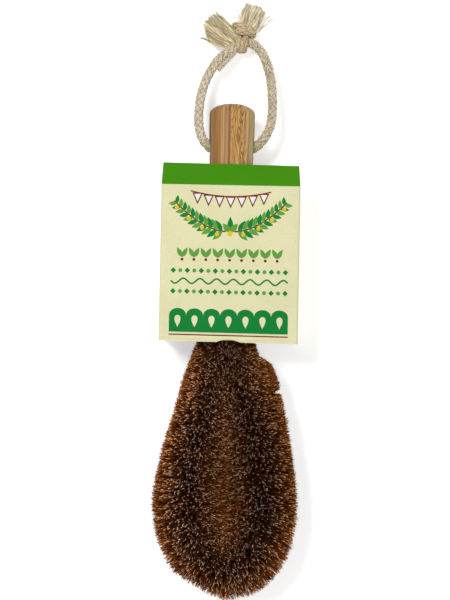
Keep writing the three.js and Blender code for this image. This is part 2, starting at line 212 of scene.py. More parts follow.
def unit(vectors):
    return vectors / np.linalg.norm(vectors, axis=-1, keepdims=True)


def turned(first, second, angle):
    """Vectors turned by angles from the first towards the second."""
    return np.cos(angle)[:, None] * first + np.sin(angle)[:, None] * second


def tubes(paths, radii, hints, sides):
    """Points and faces of closed tubes, one for each path. No path runs along its hint vectors."""
    count, steps = paths.shape[:2]
    along = unit(np.gradient(paths, axis=1))
    across = unit(np.cross(along, hints))
    over = np.cross(across, along)
    turn = math.tau * np.arange(sides) / sides
    ring = np.cos(turn)[:, None] * across[:, :, None] + np.sin(turn)[:, None] * over[:, :, None]
    points = paths[:, :, None] + radii[:, :, None, None] * ring
    index = np.arange(count * steps * sides).reshape(count, steps, sides)
    after = np.roll(index, -1, axis=2)
    walls = np.stack([index[:, :-1], index[:, 1:], after[:, 1:], after[:, :-1]], axis=-1)
    faces = walls.reshape(-1, 4).tolist()
    faces += index[:, 0].tolist()
    faces += index[:, -1, ::-1].tolist()
    return points.reshape(-1, 3), faces


def joined(parts):
    """Points, faces and tints of several meshes as one."""
    points, faces, tints = zip(*parts)
    starts = np.cumsum([0] + [len(part) for part in points])
    all_faces = [
        [start + corner for corner in face] for start, part in zip(starts, faces) for face in part
    ]
    return np.concatenate(points), all_faces, np.concatenate(tints)


def lathe(profile, sides):
    """A closed solid turned about the Y axis. The profile's (radius, y) ends lie on the axis."""
    turn = math.tau * np.arange(sides) / sides
    points = [(0, profile[0][1], 0)]
    for radius, y in profile[1:-1]:
        points += [(radius * math.cos(a), y, radius * math.sin(a)) for a in turn]
    points.append((0, profile[-1][1], 0))
    last, faces = len(points) - 1, []
    for i in range(sides):
        after = (i + 1) % sides
        faces.append([0, 1 + i, 1 + after])
        faces.append([last, last - sides + after, last - sides + i])
        for start in range(1, last - sides, sides):
            faces.append([start + i, start + sides + i, start + sides + after, start + after])
    return np.array(points), faces


# Lines

def arc(centre, half, start, end, count):
    """Points of an ellipse's arc between two angles, which are given in quarter turns."""
    angle = np.linspace(start, end, count) * math.pi / 2
    return np.stack([np.cos(angle), np.sin(angle)], axis=1) * half + centre


def bezier(share, *points):
    """Places at shares of a curve from the first point to the last, which the others draw aside."""
    while len(points) > 1:
        points = [a + (b - a) * share for a, b in zip(points, points[1:])]
    return points[0]


def smooth_line(points, steps=12):
    """A smooth line through points, which runs at each as the line between its neighbours does."""
    points = np.asarray(points, float)
    ends = np.concatenate([2 * points[:1] - points[1:2], points, 2 * points[-1:] - points[-2:-1]])
    share = np.linspace(0, 1, steps, endpoint=False)[:, None]
    spans = zip(ends, ends[1:], ends[2:], ends[3:])
    line = [bezier(share, b, b + (c - a) / 6, c - (d - b) / 6, c) for a, b, c, d in spans]
    return np.concatenate([*line, points[-1:]])


def lengths_along(line):
    return np.concatenate([[0], np.cumsum(np.linalg.norm(np.diff(line, axis=0), axis=1))])


def at_lengths(line, wanted):
    """Points of a line at these lengths along it."""
    known = lengths_along(line)
    return np.stack([np.interp(wanted, known, values) for values in line.T], axis=-1)


def spaced(line, step):
    total = lengths_along(line)[-1]
    return at_lengths(line, np.linspace(0, total, max(2, round(total / step) + 1)))


def untwisted(line, first):
    """A vector square to the line at each of its points, which turns as little as it can."""
    normal, normals = np.asarray(first, float), []
    for direction in unit(np.gradient(line, axis=0)):
        normal = unit(normal - direction * np.dot(normal, direction))
        normals.append(normal)
    return np.array(normals)


# Hanging cord. Its shapes are given in the flat plane of its loop: x across the handle, y away from
# the cross hole and z out of the plane, which is tilted until the knot lies on the table.

KNOT_REST_Z = 6.1
KNOT_FROM_HOLE = 57.65
CORD_TURN = Matrix.Rotation(-math.asin((AXIS_Z - KNOT_REST_Z) / KNOT_FROM_HOLE), 3, "X")
CORD_ROUTE = [
    (0, 0), (7.6, 0.1), (10.4, 0.9), (12.7, 2.6), (15.0, 5.3), (17.1, 8.6), (18.8, 13.4), (19.5, 20.6),
    (19.3, 29.0), (18.5, 36.0), (17.1, 42.3), (14.9, 48.4), (12.2, 52.6), (9.0, 55.0), (6.2, 55.3),
    (3.6, 54.6), (1.2, 53.1), (-1.9, 51.0), (-5.4, 48.0), (-8.4, 44.6), (-11.2, 39.6), (-13.7, 33.8),
    (-15.4, 27.0), (-16.2, 19.8), (-16.1, 12.6), (-15.2, 8.2), (-14.0, 5.2), (-12.3, 2.7),
    (-10.2, 0.9), (-7.6, 0.1), (0, 0),
]


def laid(points):
    """Points of the loop's plane, laid down about the cross hole."""
    return np.asarray(points, float) @ np.array(CORD_TURN).T + (0, HOLE_Y, AXIS_Z)


def flat_line(route):
    """A smooth line of the loop's plane, laid down about the cross hole."""
    return laid(smooth_line([(x, y, 0) for x, y in route]))


# A braid: yarns lie side by side in carriers, four each way about a core. Its sizes are shares
# of its radius. The yarns wander a little, and how pale they are runs from 0 to about 1.
CARRIERS = 4
PLIES = 2
YARN_SIDES = 7
BRAID_STEP = 0.42
BRAID_MIDDLE = 0.7
BRAID_WEAVE = 0.17
BRAID_CORE = 0.62
YARN_RADIUS = 0.21
PLY_SPREAD = 1.8
YARN_WAVES = (6, 16)
YARN_DRIFT = 0.12
YARN_LIFT = 0.06
YARN_PALE = 0.62
# Darker where a yarn dips under the others: painted shade in the braid's crevices.
YARN_DIP_SHADE = 0.55
YARN_PATCHY = 0.22
YARN_PALEST = 1.1
COTTON_DARK = srgb(146, 118, 76)
COTTON_PALE = srgb(229, 216, 191)

# The cord is darker on its left flank and towards the right, both painted shade, and at the hole, where
# it is darkened by painted shade and dirt. A thin slack plait lies inside it, below the knot.
BRAID_RADIUS = 2.25
CORD_PITCH = 13.5
CORD_LOOSE = 1.0
CORD_FLANK_SHADE = 0.32
CORD_RIGHT_SHADE_X = (-10, 19)
CORD_RIGHT_SHADE = (0.09, 0.1, 0.14, 0)
CORD_SHADE_AND_DIRT_Y = (0.5, 6)
CORD_SHADE_AND_DIRT = (0.32, 0.27, 0.4, 0)
SLACK_ROUTE = [(1.2, 51.0), (-0.4, 48.8), (-3.3, 45.5), (-5.6, 42.8), (-7.3, 41.0)]
SLACK_RADIUS = 1.1
SLACK_PITCH = 8


def cotton_tints(pale):
    """Colours between the dark and the pale cotton."""
    dark, light = np.array(COTTON_DARK), np.array(COTTON_PALE)
    return dark + (light - dark) * np.asarray(pale)[..., None]


def wander(distances, rng):
    """A smooth random line along distances, mostly between -1 and 1."""
    waves, phases = rng.uniform(*YARN_WAVES, 3), rng.uniform(0, math.tau, 3)
    return np.sin(math.tau * distances[:, None] / waves + phases).sum(axis=1) / 2


def braid(line, radius, pitch, first, loose, flank, rng):
    """Points, faces and tints of a round braid about a line: carriers of a few yarns wind both ways,
    over and under each other, a little unevenly, and are darker where they dip and on the left flank,
    both painted shade. The core takes the darkest cotton, painted shade in the gaps between the yarns."""
    line = spaced(line, BRAID_STEP)
    normal = untwisted(line, first)
    other = np.cross(unit(np.gradient(line, axis=0)), normal)
    along = lengths_along(line)
    turn = math.tau * along / pitch
    middle, weave, yarn = BRAID_MIDDLE * radius, BRAID_WEAVE * radius, YARN_RADIUS * radius
    spread = PLY_SPREAD * yarn / middle * math.hypot(1, math.tau * middle / pitch)
    paths, hints, tints = [], [], []
    for hand, carrier, ply in itertools.product((1, -1), range(CARRIERS), range(PLIES)):
        lead = (ply - (PLIES - 1) / 2) * spread
        drift, lift = loose * wander(along, rng), loose * wander(along, rng)
        angle = hand * turn + math.tau * carrier / CARRIERS + lead + YARN_DRIFT * drift
        over = hand * np.cos(CARRIERS * (turn + hand * lead / 2))
        out = turned(normal, other, angle)
        rise = middle + weave * over + YARN_LIFT * radius * lift
        paths.append(line + rise[:, None] * out)
        hints.append(out)
        pale = YARN_PALE + YARN_DIP_SHADE * over + YARN_PATCHY * lift - flank * np.clip(-out[:, 0], 0, 1)
        tints.append(cotton_tints(np.clip(pale, 0, YARN_PALEST)))
    radii = np.full((len(paths) + 1, len(line)), yarn)
    radii[-1] = BRAID_CORE * radius
    points, faces = tubes(np.array([*paths, line]), radii, np.array([*hints, normal]), YARN_SIDES)
    # The core takes the darkest cotton: painted shade in the gaps between the yarns.
    tints = np.array([*tints, cotton_tints(np.zeros(len(line)))])
    return points, faces, np.repeat(tints.reshape(-1, 4), YARN_SIDES, axis=0)


def cotton_material():
    nodes = Nodes("cotton")
    place = nodes.where()
    patch = nodes.rerange(nodes.noise(place, 240), 0.3, 0.7, 0.9, 1.06)
    fibre = nodes.noise(place, 2600)
    colour = nodes.shaded(nodes.tint(), patch)
    return nodes.finish(
        Base_Color=nodes.shaded(colour, nodes.rerange(fibre, 0.35, 0.65, 0.84, 1.06)),
        Roughness=0.88, Sheen_Weight=0.15, Sheen_Roughness=0.5,
        Normal=nodes.bump(fibre, 0.5, 0.1 * MM),
    )


COTTON = cotton_material()


def add_cotton(name, node, points, faces, tints, stain=(1, 1, 1)):
    """A piece of cotton, with its tints multiplied by a stain."""
    piece = add_piece(name, node, points, faces, [COTTON], "cord")
    tint(piece, tints * (*stain, 1), "POINT")
    return piece


def add_cord(rng):
    route = flat_line(CORD_ROUTE)
    points, faces, tints = joined([
        braid(route, BRAID_RADIUS, CORD_PITCH, UP, CORD_LOOSE, CORD_FLANK_SHADE, rng),
        braid(flat_line(SLACK_ROUTE), SLACK_RADIUS, SLACK_PITCH, UP, CORD_LOOSE, 0, rng),
    ])
    # Painted shade towards the right, and painted shade and dirt near the hole's mouth.
    right_shade = np.interp(points[:, 0], CORD_RIGHT_SHADE_X, (0, 1))[:, None]
    shade_and_dirt = np.interp(points[:, 1] - HOLE_Y, CORD_SHADE_AND_DIRT_Y, (1, 0))[:, None]
    tints = tints * (1 - right_shade * CORD_RIGHT_SHADE) * (1 - shade_and_dirt * CORD_SHADE_AND_DIRT)
    cord = add_cotton("cord_braid", "cord_loop", points, faces, tints)
    return cord, spaced(route, 1) * MM


# Knot: turns of cord round upright bights, over a stuffed core. An oval has a centre, two half widths,
# the two axes of the loop's plane that it lies in, a lean about x and a tilt about z, in degrees.

KNOT_STAIN = (0.91, 0.84, 0.65)
KNOT_CORD_RADIUS = 1.65
KNOT_PITCH = 17
KNOT_LOOSE = 0.3
KNOT_OVALS = [
    ((4.6, 62.9, 0.2), (4.3, 3.0), (0, 2), 8, -18), ((5.4, 59.9, 0.3), (4.3, 3.2), (0, 2), 4, -7),
    ((2.9, 54.3, 0.1), (2.9, 3.1), (1, 2), 0, 10), ((5.4, 54.4, 0.2), (2.8, 3.2), (1, 2), 0, -8),
]
KNOT_CORES = [((5.0, 61.2, 0.0), (4.2, 2.4, 2.9)), ((4.2, 54.6, 0.0), (2.4, 3.0, 3.0))]
KNOT_CORE_PALE = 0.5


def oval(centre, half, axes, lean, tilt, count=61):
    """A closed oval line, starting at the knot's back."""
    ring = np.zeros((count, 3))
    ring[:, axes] = arc((0, 0), half, -1, 3, count)
    turn = Euler((math.radians(lean), 0, math.radians(tilt))).to_matrix()
    return ring @ np.array(turn).T + centre


def egg(centre, half):
    """Points and faces of a closed egg shape."""
    points, faces = lathe(arc((0, 0), 1, -1, 1, count=10), sides=16)
    return points * half + centre, faces


def add_knot(rng):
    parts = []
    for centre, half, axes, lean, tilt in KNOT_OVALS:
        line = laid(oval(centre, half, axes, lean, tilt))
        square_axis = 3 - sum(axes)
        first = np.eye(3)[square_axis]
        parts.append(braid(line, KNOT_CORD_RADIUS, KNOT_PITCH, first, KNOT_LOOSE, 0, rng))
    for centre, half in KNOT_CORES:
        points, faces = egg(centre, half)
        parts.append((laid(points), faces, cotton_tints(np.full(len(points), KNOT_CORE_PALE))))
    return add_cotton("cord_knot_turns", "cord_knot", *joined(parts), KNOT_STAIN)


# Frayed ends: the cord comes apart into twisted locks that fan out in the loop's plane. A reach is a
# share of the length from root to tip, by the place across the tail, which runs from -1 to 1. Wisps are
# thin loose locks, given by place and reach. Tones are the range of how pale the locks are.

TAIL_LEFT = {
    "root": (0.9, 54.9), "half_width": 4.0, "tip": (-13.9, 63.9), "fan": 27, "tones": (0.05, 1.45),
    "reaches": [(-1, 1.06), (-0.3, 1.08), (0.4, 0.92), (1, 0.78)],
    "wisps": [(0.9, 1.04), (-1.15, 0.98)],
}
TAIL_LEFT_STAIN = (0.97, 0.96, 0.78)
TAIL_RIGHT = {
    "root": (6.2, 60.4), "half_width": 3.3, "tip": (10.4, 75.6), "fan": 22, "tones": (0.75, 1.15),
    "reaches": [(-1, 0.9), (-0.1, 0.98), (0.6, 1.0), (1, 0.8)],
    "wisps": [(-1.85, 0.95), (-1.6, 0.97), (1.55, 0.7)],
}
TAIL_RIGHT_STAIN = (1.09, 1.1, 1.02)
TAIL_LOCKS = 22
TAIL_STEPS = 14
TAIL_SIDES = 5
LOCK_FIBRES = 19
WISP_FIBRES = 8
LOCK_ASKEW_DEG = 1.3
LOCK_REACH = (0.96, 1.04)
LOCK_BEND_AT = 0.42
LOCK_BEND_OUT = 2.2
LOCK_BEND_RISE = 0.4
LOCK_END_RISE = 0.7
LOCK_SWAY = 0.35
LOCK_RADIUS = 0.75
LOCK_UNEVEN = (0.85, 1.15)
LOCK_TURNS = (0.77, 1.32)
FRAY_RADII = (0.105, 0.195)
FRAY_TAPER = 0.6
FRAY_REACH = (0.9, 1.03)
FRAY_TONE = 0.2
FRAY_PALEST = 1.7
BRIGHT_FIBRES = 0.2
BRIGHT_TONE = 0.9


def frayed_tail(root, half_width, tip, fan, tones, reaches, wisps, rng):
    """Paths of the fibres of one end, and how pale each is. A lock's fibres wind about its spine."""
    root, tip = np.array([*root, 0.0]), np.array([*tip, 0.0])
    length = np.linalg.norm(tip - root)
    along = (tip - root) / length
    across = np.array([-along[1], along[0], 0])
    share = np.linspace(0, 1, TAIL_STEPS)[:, None]
    # A lock is slimmest a third of the way along and opens at its end
    opened = 0.85 + 0.5 * (share - 0.35) ** 2 + 0.3 * share ** 4
    places = (2 * np.arange(TAIL_LOCKS) + 1) / TAIL_LOCKS - 1
    locks = [(place, np.interp(place, *zip(*reaches)), LOCK_FIBRES) for place in places]
    locks += [(place, reach, WISP_FIBRES) for place, reach in wisps]
    paths, pale = [], []
    for place, reach, fibres in locks:
        angle = math.radians(fan * place + rng.normal(0, LOCK_ASKEW_DEG))
        height = rng.uniform(-1, 1)
        reach *= length * rng.uniform(*LOCK_REACH)
        heading = math.cos(angle) * along + math.sin(angle) * across
        start = root + across * np.clip(place, -1, 1) * half_width + UP * height
        bend = start + along * reach * LOCK_BEND_AT + across * place * LOCK_BEND_OUT
        end = root + heading * reach + UP * LOCK_END_RISE * height
        spine = bezier(share, start, bend + UP * LOCK_BEND_RISE * height, end)
        spine = spine + rng.normal(0, LOCK_SWAY) * np.sin(math.tau * share) * across
        tone = rng.uniform(*tones)
        thick = LOCK_RADIUS * math.sqrt(fibres / LOCK_FIBRES) * rng.uniform(*LOCK_UNEVEN)
        twist = math.tau * rng.uniform(*LOCK_TURNS)
        for _ in range(fibres):
            turn = rng.uniform(0, math.tau) + twist * share
            off = thick * math.sqrt(rng.random()) * opened
            fibre = spine + off * (np.cos(turn) * across + np.sin(turn) * UP)
            paths.append(start + (fibre - start) * rng.uniform(*FRAY_REACH))
            bright = BRIGHT_TONE * (rng.random() < BRIGHT_FIBRES)
            level = tone + rng.normal(0, FRAY_TONE) + bright
            pale.append(np.clip(level, 0, FRAY_PALEST))
    return np.array(paths), np.array(pale)


def add_tail(name, node, tail, stain, rng):
    paths, pale = frayed_tail(**tail, rng=rng)
    paths = laid(paths)
    taper = np.linspace(1, FRAY_TAPER, TAIL_STEPS)
    radii = taper * rng.uniform(*FRAY_RADII, (len(paths), 1))
    points, faces = tubes(paths, radii, np.broadcast_to(UP, paths.shape), TAIL_SIDES)
    tints = np.repeat(cotton_tints(pale), TAIL_STEPS * TAIL_SIDES, axis=0)
    return add_cotton(name, node, points, faces, tints, stain)


braid_rng = np.random.default_rng(SEED)
tail_rng = np.random.default_rng(SEED)
cord, cord_line = add_cord(braid_rng)
cord_pieces = [
    add_knot(braid_rng),
    add_tail("cord_fray_left", "cord_tail_left", TAIL_LEFT, TAIL_LEFT_STAIN, tail_rng),
    add_tail("cord_fray_right", "cord_tail_right", TAIL_RIGHT, TAIL_RIGHT_STAIN, tail_rng),
]


# Wire loop of the head: its centre line, from the left socket round to the right one

LEG_X = 2.75
SOCKET_END_Y = 44.6
NECK_Y = -0.05
NECK_PULL = 22
SHOULDER_PULL = 40
LOOP_HALF_WIDTH = 17.3
LOOP_WIDEST_Y = -73.05
LOOP_TIP_RISE = 28
LOOP_STEPS = 200
WIRE_RADIUS = 0.8
WIRE_STEP = 0.7
WIRE_END_GAP = 0.3
WIRE_TIGHT_OFFSET = 0.98
WIRE_GRIP_OFFSET = 1.5
TWIST_PITCH = 14
WIRE_BARE_START = 27.65
COIR_START = 31.15


def wire_line():
    """Points of the loop, and the lengths along it at which its rounded tip begins and ends."""
    share = np.linspace(0, 1, LOOP_STEPS)[:, None]
    neck, shoulder = np.array([-LEG_X, NECK_Y]), np.array([-LOOP_HALF_WIDTH, LOOP_WIDEST_Y])
    side = bezier(share, neck, neck - (0, NECK_PULL), shoulder + (0, SHOULDER_PULL), shoulder)
    left = np.concatenate([[(-LEG_X, SOCKET_END_Y)], side])
    tip = arc((0, LOOP_WIDEST_Y), (LOOP_HALF_WIDTH, LOOP_TIP_RISE), 2, 4, LOOP_STEPS)[1:]
    tip_start = lengths_along(left)[-1]
    tip_end = lengths_along(np.concatenate([left, tip]))[-1]
    return np.concatenate([left, tip, left[-2::-1] * (-1, 1)]), tip_start, tip_end


WIRE_LINE, TIP_START, TIP_END = wire_line()
WIRE_LENGTH = lengths_along(WIRE_LINE)[-1]


def stations(distances):
    """Points of the loop at these lengths, the way it runs there and the way out of it."""
    nudge = 0.2
    x, y = at_lengths(WIRE_LINE, distances).T
    ahead, behind = at_lengths(WIRE_LINE, distances + nudge), at_lengths(WIRE_LINE, distances - nudge)
    way_x, way_y = unit(ahead - behind).T
    none = np.zeros_like(x)
    return (
        np.stack([x, y, none + AXIS_Z], axis=1),
        np.stack([way_x, way_y, none], axis=1),
        np.stack([way_y, -way_x, none], axis=1),
    )


def wire_material():
    nodes = Nodes("galvanised_wire")
    patch = nodes.noise(nodes.where(), 900)
    return nodes.finish(
        Base_Color=nodes.ramp(patch, [(0.35, srgb(70, 67, 63)), (0.7, srgb(112, 109, 104))]),
        Metallic=1.0, Roughness=nodes.rerange(patch, 0.3, 0.7, 0.5, 0.65),
    )


def add_wires():
    steel = wire_material()
    distances = np.arange(WIRE_END_GAP, WIRE_LENGTH - WIRE_END_GAP, WIRE_STEP)
    point, _, out = stations(distances)
    from_end = np.minimum(distances, WIRE_LENGTH - distances)
    grip = np.interp(from_end, (WIRE_BARE_START, COIR_START), (0, 1))
    grip = grip * grip * (3 - 2 * grip)
    offset = WIRE_TIGHT_OFFSET + (WIRE_GRIP_OFFSET - WIRE_TIGHT_OFFSET) * grip
    for node, phase in (("wire_strand_a", math.pi / 2), ("wire_strand_b", -math.pi / 2)):
        angle = math.tau * (distances - WIRE_LENGTH / 2) / TWIST_PITCH + phase
        spoke = turned(out, UP, angle)
        path = point + offset[:, None] * spoke
        radii = np.full((1, len(path)), WIRE_RADIUS)
        points, faces = tubes(path[None], radii, spoke[None], sides=12)
        add_piece(node + "_drawn", node, points, faces, [steel], "brush")


add_wires()


# Coir: tufts of fibres all round the wire, trimmed to the head's outline. A fibre's angle about the wire
# is 0 where it lies outwards, a quarter turn where it stands up and a half turn where it points inwards.
# The outline's two sides give the half width by the height above the head's end. A nick, where a tuft
# is missing, has a side, a y, half its height and a depth. Fibres stray by a t distribution, so that a
# few stray far.

COIR_PIECES = [
    ("coir_left_neck", "bristles_left"), ("coir_left_side", "bristles_left"),
    ("coir_tip_left", "bristles_tip"), ("coir_tip_right", "bristles_tip"),
    ("coir_right_side", "bristles_right"), ("coir_right_neck", "bristles_right"),
]
TUFTS_PER_MM = 44
TUFT_FIBRES = 5
TUFT_TURN = 0.1
FIBRE_TURN = 0.45
FIBRE_STRAY = 1.6
GOLDEN_ANGLE = math.pi * (3 - math.sqrt(5))
BRISTLE_REACH = 18.4
SIDEWAYS_EXTRA = 2.4
NECK_REACH = 8.6
NECK_FLARE = 0.55
ROOT_REACH = 0.4
CROSSING = (0.9, 6.3)
CROSSING_SLOPE = 0.25
TUFT_LEAN = 0.04
FIBRE_LEAN = 0.08
LYING_LEAN = 0.03
INWARD_LEAN = 0.2
TUFT_SWAY = 0.02
FIBRE_SWAY = 0.08
STRAY_FREEDOM = 4
CURL = 0.7
COMBED = 0.3
COMBED_FROM_Y = 5
COMBED_OVER = 14
RAGGED_TUFT = 0.45
RAGGED_FIBRE = 0.3
SHORT_TUFT = 0.025
SHORT_FIBRE = 0.03
LONGEST_TUFT = 1.015
FIBRE_BOW = 0.5
FIBRE_KINK = 0.08
COIR_Z = (0.2, 2 * AXIS_Z + 0.3)
COIR_RADII = (0.0854, 0.1647)
COIR_SIDES = 3
COIR_SHARES = np.array([0, 0.6, 0.9, 1.0])
COIR_THICKNESS = 1.1 - 0.25 * COIR_SHARES
BRIGHT_THICKER = 1.25
HEAD_END_Y = -119.45
HEAD_LEFT = [
    (0, 0.5), (0.6, 1), (1.5, 2.5), (3.4, 7.8), (6.5, 12.4), (12.5, 23.4), (18.5, 27.8), (25.5, 31.2),
    (33.5, 33.8), (44, 35.2), (57.5, 33.9), (73.5, 30.3), (89.5, 25.3), (105.5, 21.1), (117.5, 16.8),
    (133, 12.2),
]
HEAD_RIGHT = [
    (0, 4), (0.6, 6), (1.5, 10), (2.9, 15), (5.1, 18.8), (8.2, 22), (12.5, 26.2), (18.5, 29.6),
    (25.5, 32.3), (33.5, 33.8), (44, 34.8), (57.5, 33.7), (73.5, 31.3), (89.5, 28.2), (105.5, 24.7),
    (113.5, 21.2), (117.5, 14.6), (133, 10.4),
]
NICKS = [(1, -19.6, 0.8, 0.24), (-1, -43.0, 0.5, 0.06), (-1, -80.0, 0.5, 0.06)]
# The dark shafts are painted shade deep in the head. Bright ends are partly painted highlights, and the
# lighter dull ends of fibres that lie outwards are painted light through the thin fringe.
COIR_SHAFT_SHADE = srgb(34, 8, 1)
COIR_ENDS = [
    (0, srgb(184, 116, 44)), (40, srgb(190, 134, 80)), (66, srgb(184, 146, 116)),
    (90, srgb(175, 146, 130)), (115, srgb(167, 131, 100)), (180, srgb(152, 114, 74)),
]
COIR_DULL = srgb(158, 78, 16)
SHAFT_LYING = np.array([0, 0.14, 0.4, 1.0])
SHAFT_STANDING = np.array([0, 0.14, 0.22, 1.08])
BRIGHT_SHARE = 0.27
BRIGHT_LEVEL = (1.05, 2.8)
DULL_LEVEL = (0.13, 0.66)
DULL_LYING_LIGHT = 1.1
# Painted shade and light on the fibres' ends, by where they grow and which way they point.
SIDE_SHADE = 0.19
SIDE_OVER = 10
LEFT_SHADE = 0.14
LEFT_SLOPE_LIGHT = 0.5
SLOPE_FADE = 4
HEAD_LOW_Y = (-95, -55)
LOW_EVEN = 0.65
INNER_SHADE = 0.2
INNER_SHADE_Y = -56
INNER_SHADE_OVER = 15
NECK_SHADE = 0.33


def head_room(x, y):
    """Half width of the trimmed head on the side of x."""
    left, right = (np.interp(y - HEAD_END_Y, *zip(*side)) for side in (HEAD_LEFT, HEAD_RIGHT))
    return np.where(x < 0, left, right)


def trimmed(point, heading, reach, ragged):
    """Reach of each fibre after the shears, found by nine halvings: no further out than the outline, which
    is ragged by an amount for each fibre."""
    def inside(length):
        x, y, _ = (point + heading * length[:, None]).T
        room = head_room(x, y) + ragged
        for side, nick_y, half, depth in NICKS:
            hit = (np.sign(x) == side) & (np.abs(y - nick_y) < half)
            room = np.where(hit, room * (1 - depth), room)
        return (np.abs(x) < room) & (y > HEAD_END_Y)

    low, high = np.full_like(reach, ROOT_REACH), reach
    for _ in range(9):
        middle = (low + high) / 2
        fits = inside(middle)
        low, high = np.where(fits, middle, low), np.where(fits, high, middle)
    return np.where(inside(reach), reach, low)


def near_neck(y):
    """How near to the neck a fibre grows, from 0 to 1."""
    return np.exp(-np.abs(COMBED_FROM_Y - y) / COMBED_OVER)


def coir_paths(start, end, rng):
    """Paths of the fibres of one stretch of wire, a vector square to each and its angle."""
    tufts = round((end - start) * TUFTS_PER_MM)
    count = tufts * TUFT_FIBRES
    tuft = np.repeat(np.arange(tufts), TUFT_FIBRES)
    tuft_at = start + (end - start) * (np.arange(tufts) + 0.5) / tufts
    tuft_angle = GOLDEN_ANGLE * np.arange(tufts) + rng.normal(0, TUFT_TURN, tufts)
    distances = np.clip(tuft_at[tuft] + rng.normal(0, FIBRE_STRAY, count), start, end)
    angle = np.mod(tuft_angle[tuft] + math.pi, math.tau) - math.pi + rng.normal(0, FIBRE_TURN, count)
    point, along, out = stations(distances)

    from_start = np.minimum(distances, WIRE_LENGTH - distances) - COIR_START
    reach = np.minimum(BRISTLE_REACH, NECK_REACH + NECK_FLARE * from_start)
    to_middle = np.abs(point[:, 0]) / np.maximum(np.abs(out[:, 0]), CROSSING_SLOPE)
    crossing = to_middle + rng.uniform(*CROSSING, count)
    angle *= 0.5 + np.arcsin(np.clip(crossing / reach, 0, 1)) / math.pi
    reach = reach + SIDEWAYS_EXTRA * np.cos(angle) ** 2

    square = np.cross(along, turned(out, UP, angle))
    inwards = np.clip(-np.cos(angle), 0, 1)
    wild = FIBRE_LEAN + LYING_LEAN * np.cos(angle) ** 2 + INWARD_LEAN * inwards
    lean, sway = (
        rng.normal(0, by_tuft, tufts)[tuft] + by_fibre * rng.standard_t(STRAY_FREEDOM, count)
        for by_tuft, by_fibre in ((TUFT_LEAN, wild), (TUFT_SWAY, FIBRE_SWAY))
    )
    combed = COMBED * near_neck(point[:, 1])
    aside = lean[:, None] * along + sway[:, None] * square - combed[:, None] * (0, 1, 0)
    inward = np.clip(np.abs(angle) - math.pi / 2, 0, None) * np.sign(angle)
    curl = CURL * inward * rng.random(count) ** 2

    def heading(share):
        """The way that the fibres run at a share of their length. Inward ones curl up or down."""
        turn = angle - curl * share
        return unit(turned(out, UP, turn) + aside)

    ragged = rng.normal(0, RAGGED_TUFT, tufts)[tuft] + rng.normal(0, RAGGED_FIBRE, count)
    reach = trimmed(point, heading(0.5), reach, ragged)
    reach *= 1 - np.abs(rng.normal(0, SHORT_FIBRE, count))
    reach *= LONGEST_TUFT - np.abs(rng.normal(0, SHORT_TUFT, tufts))[tuft]

    share = COIR_SHARES[None, :, None]
    paths = [point + ROOT_REACH * heading(0)]
    for low, high in zip(COIR_SHARES, COIR_SHARES[1:]):
        step = (reach - ROOT_REACH) * (high - low)
        paths.append(paths[-1] + step[:, None] * heading((low + high) / 2))
    paths = np.stack(paths, axis=1)
    bow = rng.normal(0, FIBRE_BOW, (count, 1, 1)) * along[:, None]
    bow = bow + rng.normal(0, FIBRE_BOW, (count, 1, 1)) * square[:, None]
    paths += 4 * share * (1 - share) * bow + rng.normal(0, FIBRE_KINK, paths.shape) * share
    paths[:, :, 2] = np.clip(paths[:, :, 2], *COIR_Z)
    return paths, square, angle


def coir_level(paths, angle):
    """How light each fibre's end is, as painted light and shade. It is darker, painted shade, on the
    right, though less so low on the head, where it stands up at the neck, where it points inwards halfway
    up the head, and where it points left on the left. It is lighter, painted light, where it slopes up on
    the left, away from the neck."""
    root = paths[:, 0]
    x, y, _ = root.T
    standing = np.sin(angle) ** 2
    side = np.tanh(x / SIDE_OVER) * (1 - LOW_EVEN * np.interp(y, HEAD_LOW_Y, (1, 0)))
    level = (1 - SIDE_SHADE * side) * (1 - NECK_SHADE * near_neck(y) * standing)
    halfway = np.exp(-((y - INNER_SHADE_Y) / INNER_SHADE_OVER) ** 2)
    level *= 1 - INNER_SHADE * halfway * np.clip(-np.cos(angle), 0, 1)
    leftward = np.clip(-unit(paths[:, -1] - root)[:, 0], 0, 1) * (x < 0)
    level *= 1 - LEFT_SHADE * leftward ** 2
    sloping = standing * np.clip(np.cos(angle), 0, 1) * (x < 0)
    return level * (1 + LEFT_SLOPE_LIGHT * sloping * np.clip(1 - SLOPE_FADE * near_neck(y), -1, 1))


def coir_colours(paths, angle, bright, rng):
    """A colour for each ring of each fibre: a dark shaft, painted shade deep among the other fibres, with
    a lighter end, which is shorter on fibres that stand up. Bright ends, partly painted highlights, are
    golden on fibres that lie outwards and paler on the others, and dull ends are brown, lighter on fibres
    that lie outwards as painted light through the thin fringe."""
    count = len(angle)
    turns, ends = zip(*COIR_ENDS)
    degrees = np.degrees(np.abs(angle))
    bright_end = [np.interp(degrees, turns, channel) for channel in np.array(ends)[:, :3].T]
    bright_end = np.stack(bright_end, axis=1) * rng.uniform(*BRIGHT_LEVEL, (count, 1))
    dull_end = np.array(COIR_DULL[:3]) * rng.uniform(*DULL_LEVEL, (count, 1))
    dull_end *= 1 + DULL_LYING_LIGHT * np.cos(angle)[:, None] ** 2
    end = np.where(bright[:, None], bright_end, dull_end)
    end *= coir_level(paths, angle)[:, None]
    dark = np.array(COIR_SHAFT_SHADE[:3])
    shaft = SHAFT_LYING + (SHAFT_STANDING - SHAFT_LYING) * np.sin(angle)[:, None] ** 4
    colour = dark + (end[:, None] - dark) * shaft[:, :, None]
    return np.concatenate([colour, np.ones((count, len(COIR_SHARES), 1))], axis=2)


def coir_material():
    nodes = Nodes("coir")
    fleck = nodes.noise(nodes.where(), 1800, Detail=2)
    return nodes.finish(
        Base_Color=nodes.shaded(nodes.tint(), nodes.rerange(fleck, 0.3, 0.7, 0.75, 1.2)),
        Roughness=0.45, Specular_IOR_Level=0.1,
    )


